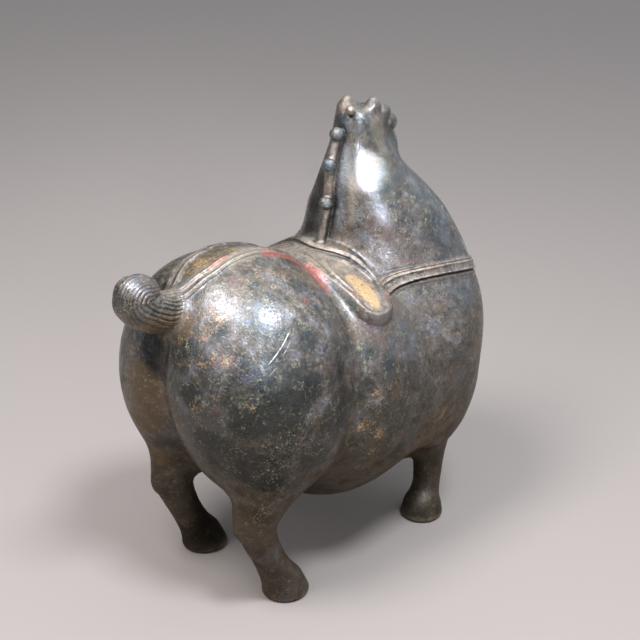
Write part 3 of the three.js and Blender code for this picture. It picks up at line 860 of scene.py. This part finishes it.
# The mottlings of the finish: grain in mm, seed, and the levels of it that show, or else all of it
MOTTLINGS = {
    "film": {"size": 11, "seed": 0, "detail": 9, "rough": 0.74},
    "worn": {"size": 2.5, "seed": 41, "levels": (0.3, 0.6)},
    "dirt_and_shade": {"size": 3, "seed": 42, "levels": (0.2, 0.55)},
    "shadow": {"size": 1.8, "seed": 44, "levels": (0.20, 0.45), "most": 0.85, "detail": 5},
    "dust": {"size": 3, "seed": 45, "levels": (0.40, 0.66), "most": 0.5, "detail": 8, "rough": 0.72},
    "vein_path": {"size": 3.6, "seed": 46, "detail": 3},
    "vein_breaks": {"size": 4, "seed": 47, "levels": (0.50, 0.58), "most": 0.6, "detail": 3},
    "cut_breaks": {"size": 1.2, "seed": 48, "levels": (0.36, 0.52)},
    "dullness": {"size": 1.6, "seed": 51, "levels": (0.35, 0.65)},
    "wax": {"size": 9, "seed": 52, "levels": (0.25, 0.6)},
    "wax_haze": {"size": 2.4, "seed": 53, "levels": (0.35, 0.65)},
    "ripple": {"size": 2.4, "seed": 61, "detail": 5, "rough": 0.66},
    "pits": {"size": 1.1, "seed": 62, "levels": (0.36, 0.5), "detail": 3},
    "hair": {"size": 0.9, "seed": 63, "detail": 3},
}
# The patina: one broken mottling runs from pitted black over green and brown to bare metal
FILM = [
    (0.31, "#0b0c09"), (0.40, "#191d18"), (0.46, "#2b2f28"), (0.51, "#4a3d2d"), (0.56, "#5a534c"),
    (0.62, "#737272"), (0.72, "#a19a91"),
]
# Larger washes over it: grain in mm, levels of the mottling that show, colour, strength
WASHES = [
    (34, (0.45, 0.60), "#222c28", 0.55),
    (19, (0.50, 0.64), "#54402b", 0.55),
    (12, (0.52, 0.66), "#5a6672", 0.45),
]
# Painted shade that makes the body and the legs darker and browner towards the bottom, and a painted warm
# reflection in their glare: heights in metres, colour, strength, glare
LOW_DOWN = {"heights": (0.15, 0.05), "tint": "#3d3021", "strength": 0.7, "glare": "#c6ad88"}
# Stains that fill their marks, with the painted shade, shadow, reflection and sheen that some of their
# strokes hold: grain in mm, colour, strength
STAINS = {
    "pale": (1.4, "#978a74", 0.50),
    "moss_and_shade": (3.0, "#12160f", 0.75),
    "umber": (2.2, "#4b3428", 0.60),
    "brown": (5.0, "#59421f", 0.72),
    "rust": (2.0, "#a04a3c", 0.75),
    "gold": (1.8, "#bd9453", 0.85),
    "steel": (1.6, "#666b6d", 0.60),
}
# How much a mottling adds to a mark, and the levels of the sum that show, which make a stain's ragged edge
RAGGED = {"gain": 1.6, "levels": (1.1, 1.6)}
# Specks: grain in mm, how much they cluster, how much they gather at their marks, colours, strength
SPECKS = {
    "warm": (1.0, 0.36, 0.14, [(0.40, "#8b4433"), (0.50, "#a56c42"), (0.58, "#bd9f6b")], 0.65),
    "bright": (0.8, 0.30, 0.10, [(0.42, "#8d8468"), (0.58, "#c4b491")], 0.65),
    "shade": (1.3, 0.30, 0.15, [(0.42, "#080a07"), (0.58, "#1b2119")], 0.80),
    "ochre": (1.1, 0.05, 0.25, [(0.42, "#7d5c2c"), (0.58, "#b5935a")], 0.75),
}
SPECK_LEVELS = (0.68, 0.73)
# The grain in mm of their clusters and of their changes of colour, and how far each seed lies from theirs
SPECK_CLUSTERS = {"size": 9, "shift": 5}
SPECK_TINTS = {"size": 4, "shift": 7}
# The seed of the first wash, stain and speck, and the middle value of a mottling
FIRST_SEED = {"wash": 1, "stain": 20, "speck": 30}
MIDDLE = 0.5
# Pale veins, where a mottling crosses its middle, fainter low down
VEINS = {"width": (0.028, 0.008), "tint": "#989274", "low_down": -0.65}
# The colour of the painted shadow in its marks, and of the dust on faces that look up
SHADOW = "#0f100d"
DUST = "#7d6c4c"
# Fine cuts where a ball meets the surface: centre, radius, width, reach, middle, colour, strength
CUTS = [
    ((-86, -4, 178), 60, 0.40, 10, (-57, -45, 145), "#e8e4dc", 0.9),
    ((-84, -6, 176), 60.5, 0.35, 5, (-64, -44, 139), "#d8d2c6", 0.8),
    ((-84, -2, 172), 60, 0.30, 5, (-53, -47, 142), "#cfc9bd", 0.7),
    ((-33, -38, 159), 1.4, 0.5, 5, (-33, -38, 159), "#a5473a", 0.7),
    ((-27.5, -38, 157), 1.4, 0.5, 5, (-27.5, -38, 157), "#a5473a", 0.6),
]
# The share of its reach at which a cut starts to fade
CUT_END = 0.6
# Bare metal on the edges, and dirt with painted shade in the hollows, the grooves and round the top tuft:
# colour, strength
WORN_METAL = ("#b39c84", 0.6)
DIRT_AND_SHADE = ("#0e0b09", 0.9)
# How dull the metal is and how the wax lies on it: a base, and the share of each thing that changes it
DULLNESS = {"base": 0.50, "mottling": 0.14, "low_down": 0.08, "dirt_and_shade": 0.2, "worn": -0.12}
BARENESS = {"base": 0.75, "dust": -0.8}
WAX = {"base": 0.6, "mottling": 0.4, "low_down": -0.55, "shadow": -0.5, "dirt_and_shade": -0.5}
WAX_HAZE = {"base": 0.2, "mottling": 0.12, "low_down": 0.12}
WAX_IOR = 1.55
# Fine unevenness that only the light shows, and how deep it goes in the metal and in the wax, in metres
UNEVEN = {"ripple": 0.20, "pits": 0.08, "hair": 0.5}
UNEVEN_DEPTH = {"Normal": 0.001, "Coat Normal": 0.0006}
# A soft change between two levels
EASED = {"interpolation_type": "SMOOTHSTEP"}


def bronze():
    """Cast bronze under a waxed brown and green patina, rubbed through on the high spots.

    The film of patina dulls the metal's glare and breaks into patches of every size, the wax gives the smooth
    body its clear sheen, handling makes the edges bright, and dirt with painted shade makes the hollows dark
    and dull.
    """
    material = bpy.data.materials.new("patinated_cast_bronze")
    material.use_nodes = True
    shader = material.node_tree.nodes["Principled BSDF"]
    node = functools.partial(add, material.node_tree)
    place = node("TexCoord", out="Object")

    def mottled(size, seed, levels=None, most=1.0, detail=4.0, rough=0.6):
        """A mottling with a grain in mm: all of it, or only what stands out between two levels."""
        inputs = {"Vector": place, "W": seed, "Scale": 1000 / size, "Detail": detail, "Roughness": rough}
        field = node("TexNoise", inputs, noise_dimensions="4D", out="Fac")
        if levels is None:
            return field
        inputs = {"Value": field, "From Min": levels[0], "From Max": levels[1], "To Max": most}
        return node("MapRange", inputs, **EASED)

    def broken(name, mottling):
        """What is stored of one mark, broken up by a mottling."""
        whole = node("Attribute", attribute_name=name, out="Fac")
        return node("Math", {0: whole, 1: mottled(**MOTTLINGS[mottling])}, operation="MULTIPLY")

    def built_up(base, *parts):
        """A base value with a share of each part added to it."""
        for part, share in parts:
            base = node("Math", {0: part, 1: share, 2: base}, operation="MULTIPLY_ADD")
        return base

    height = node("SeparateXYZ", {0: place}, out="Z")
    high, low = LOW_DOWN["heights"]
    low_down = node("MapRange", {"Value": height, "From Min": high, "From Max": low}, **EASED)
    dust = broken("upward", "dust")
    worn = broken("worn", "worn")
    # Dirt and painted shade in the hollows, broken up by a mottling
    dirt_and_shade = broken("hollow", "dirt_and_shade")
    # Painted shadow in its marks, broken up by a mottling
    shadow = broken("painted_shadow", "shadow")

    # Layers of colour from the film of patina up, each with the share that it covers
    layers = []
    for seed, (size, levels, tint, strength) in enumerate(WASHES, FIRST_SEED["wash"]):
        wash = mottled(size, seed, levels, most=strength, detail=7, rough=0.66)
        layers.append((wash, linear(tint)))
    # Painted shade: darker and browner towards the bottom
    low_painted_shade = node("Math", {0: low_down, 1: LOW_DOWN["strength"]}, operation="MULTIPLY")
    layers.append((low_painted_shade, linear(LOW_DOWN["tint"])))
    for seed, (name, (size, tint, strength)) in enumerate(STAINS.items(), FIRST_SEED["stain"]):
        mark = node("Attribute", attribute_name=name, out="Fac")
        ragged = built_up(mark, (mottled(size, seed, detail=5, rough=0.66), RAGGED["gain"]))
        low, high = RAGGED["levels"]
        inputs = {"Value": ragged, "From Min": low, "From Max": high, "To Max": strength}
        layers.append((node("MapRange", inputs, **EASED), linear(tint)))
    layers.append((dust, linear(DUST)))

    crossing = built_up(-MIDDLE, (mottled(**MOTTLINGS["vein_path"]), 1.0))
    crossing = node("Math", {0: crossing}, operation="ABSOLUTE")
    wide, narrow = VEINS["width"]
    vein = node("MapRange", {"Value": crossing, "From Min": wide, "From Max": narrow}, **EASED)
    for factor in (mottled(**MOTTLINGS["vein_breaks"]), built_up(1.0, (low_down, VEINS["low_down"]))):
        vein = node("Math", {0: vein, 1: factor}, operation="MULTIPLY")
    layers.append((vein, linear(VEINS["tint"])))

    first = FIRST_SEED["speck"]
    for seed, (name, (size, clustered, drawn, tints, strength)) in enumerate(SPECKS.items(), first):
        mark = node("Attribute", attribute_name=name, out="Fac")
        cluster = mottled(SPECK_CLUSTERS["size"], seed + SPECK_CLUSTERS["shift"], detail=3)
        fine = mottled(size, seed, detail=3, rough=0.55)
        speck = built_up(-MIDDLE * clustered, (fine, 1.0), (cluster, clustered), (mark, drawn))
        low, high = SPECK_LEVELS
        inputs = {"Value": speck, "From Min": low, "From Max": high, "To Max": strength}
        change = mottled(SPECK_TINTS["size"], seed + SPECK_TINTS["shift"], detail=3)
        tint = node("ValToRGB", {"Fac": change}, stops=tints)
        layers.append((node("MapRange", inputs, **EASED), tint))
    tint, strength = WORN_METAL
    layers.append((node("Math", {0: worn, 1: strength}, operation="MULTIPLY"), linear(tint)))

    for centre, radius, width, reach, middle, tint, strength in CUTS:
        away = node("VectorMath", {0: place, 1: Vector(centre) * MM}, operation="DISTANCE", out="Value")
        beside = node("Math", {0: away, 1: radius * MM}, operation="SUBTRACT")
        beside = node("Math", {0: beside}, operation="ABSOLUTE")
        inputs = {"Value": beside, "From Min": width * MM, "From Max": 0, "To Max": strength}
        cut = node("MapRange", inputs, **EASED)
        along_it = node("VectorMath", {0: place, 1: Vector(middle) * MM}, operation="DISTANCE", out="Value")
        inputs = {"Value": along_it, "From Min": reach * MM, "From Max": CUT_END * reach * MM}
        for factor in (mottled(**MOTTLINGS["cut_breaks"]), node("MapRange", inputs, **EASED)):
            cut = node("Math", {0: cut, 1: factor}, operation="MULTIPLY")
        layers.append((cut, linear(tint)))
    layers.append((shadow, linear(SHADOW)))
    # Dirt and painted shade darken the hollows
    tint, strength = DIRT_AND_SHADE
    layers.append((node("Math", {0: dirt_and_shade, 1: strength}, operation="MULTIPLY"), linear(tint)))

    colour = node("ValToRGB", {"Fac": mottled(**MOTTLINGS["film"])}, stops=FILM)
    for share, tint in layers:
        colour = node("Mix", {0: share, 6: colour, 7: tint}, data_type="RGBA", out=2)
    # Painted warm reflection: the glare is tinted warm towards the bottom
    inputs = {0: low_down, 6: linear("#ffffff"), 7: linear(LOW_DOWN["glare"])}
    glare = node("Mix", inputs, data_type="RGBA", out=2)

    things = {"low_down": low_down, "dust": dust, "dirt_and_shade": dirt_and_shade, "worn": worn, "shadow": shadow}

    def finish(shares, mottling=None):
        """A value of the finish: its base and its share of each thing that changes it."""
        if mottling:
            things["mottling"] = mottled(**MOTTLINGS[mottling])
        return built_up(shares["base"], *((things[name], shares[name]) for name in shares if name != "base"))

    uneven = built_up(
        0.0,
        (mottled(**MOTTLINGS["ripple"]), UNEVEN["ripple"]),
        (mottled(**MOTTLINGS["pits"]), UNEVEN["pits"]),
        (broken("combed", "hair"), UNEVEN["hair"]),
    )
    values = {
        "Base Color": colour,
        "Specular Tint": glare,
        "Metallic": finish(BARENESS),
        "Roughness": finish(DULLNESS, "dullness"),
        "Coat Weight": finish(WAX, "wax"),
        "Coat Roughness": finish(WAX_HAZE, "wax_haze"),
    }
    for socket, depth in UNEVEN_DEPTH.items():
        values[socket] = node("Bump", {"Height": uneven, "Distance": depth, "Strength": 1.0})
    for socket, value in values.items():
        material.node_tree.links.new(value, shader.inputs[socket])
    shader.inputs["Coat IOR"].default_value = WAX_IOR
    return material


casting.data.materials.append(bronze())

# The stage: a pale floor, soft lights and the camera at the photograph's angle
TARGET = (5.72, -9.15, 128)
CAMERA = {"azimuth": 314, "elevation": 24, "distance": 650, "focal": 72.06, "sensor": 36, "nearest": 50}
LIGHTS = [
    # name, place and aim in mm, width and height in mm, watts, colour, spread of the beam in degrees
    ("near_lamp", (-80, -420, 970), (-50, -35, 150), (248, 248), 14.4, "#dfeaff", 180),
    ("far_lamp", (-447, 47, 974), (-60, -10, 150), (400, 400), 12.4, "#edf1ff", 180),
    ("side_lamp", (-900, -70, 540), (-20, -10, 165), (460, 460), 2.6, "#e8edff", 180),
    ("window", (-370, -700, 480), (34, -20, 212), (240, 240), 0.115, "#dfe8ff", 15),
    ("slit", (-200, -762, 500), (29.6, -13.6, 201), (36, 16), 0.0084, "#e8eeff", 0.8),
]

# The soft light of the room comes from above and from the right
ROOM = {"from": (0.4, -0.4, 0.82), "edge": (-0.05, 0.75), "strength": (0.06, 1.36), "tint": "#dce6fa"}
FLOOR = {"size": 8, "tint": "#8b8074", "dullness": 0.9}


def towards(direction):
    """The turn that points a lamp or the camera along a direction."""
    return Vector(direction).to_track_quat("-Z", "Y").to_euler()


def add_floor():
    """Matt pale paper, rolled out flat, which gives a soft grey without a shine."""
    bpy.ops.object.select_all(action="DESELECT")
    bpy.ops.mesh.primitive_plane_add(size=FLOOR["size"])
    floor = bpy.context.object
    floor.name = "floor"
    material = bpy.data.materials.new("matt_pale_paper")
    material.use_nodes = True
    shader = material.node_tree.nodes["Principled BSDF"]
    shader.inputs["Base Color"].default_value = linear(FLOOR["tint"])
    shader.inputs["Roughness"].default_value = FLOOR["dullness"]
    floor.data.materials.append(material)


def add_light(name, place, aim, size, power, colour, spread):
    data = bpy.data.lights.new(name, "AREA")
    data.shape = "ELLIPSE"
    data.size, data.size_y = size[0] * MM, size[1] * MM
    data.energy = power
    data.spread = math.radians(spread)
    data.color = linear(colour)[:3]
    light = bpy.data.objects.new(name, data)
    light.location = Vector(place) * MM
    light.rotation_euler = towards(Vector(aim) - Vector(place))
    bpy.context.scene.collection.objects.link(light)


def add_camera():
    azimuth, elevation = math.radians(CAMERA["azimuth"]), math.radians(CAMERA["elevation"])
    level = math.cos(elevation)
    back = Vector((math.sin(azimuth) * level, -math.cos(azimuth) * level, math.sin(elevation)))
    data = bpy.data.cameras.new("camera")
    data.sensor_width = CAMERA["sensor"]
    data.lens = CAMERA["focal"]
    data.clip_start = CAMERA["nearest"] * MM
    camera = bpy.data.objects.new("camera", data)
    camera.location = (Vector(TARGET) + back * CAMERA["distance"]) * MM
    camera.rotation_euler = towards(-back)
    bpy.context.scene.collection.objects.link(camera)
    bpy.context.scene.camera = camera


def add_world():
    """Soft light that fades from one side of the room to the other."""
    world = bpy.data.worlds.new("studio")
    world.use_nodes = True
    tree = world.node_tree
    way = add(tree, "TexCoord", out="Generated")
    toward = add(tree, "VectorMath", {0: way, 1: ROOM["from"]}, operation="DOT_PRODUCT", out="Value")
    low, high = ROOM["edge"]
    dim, bright = ROOM["strength"]
    inputs = {"Value": toward, "From Min": low, "From Max": high, "To Min": dim, "To Max": bright}
    strength = add(tree, "MapRange", inputs, **EASED)
    background = tree.nodes["Background"]
    background.inputs["Color"].default_value = linear(ROOM["tint"])
    tree.links.new(strength, background.inputs["Strength"])
    bpy.context.scene.world = world
    bpy.context.scene.view_settings.view_transform = "Standard"


add_floor()
add_world()
add_camera()
for settings in LIGHTS:
    add_light(*settings)
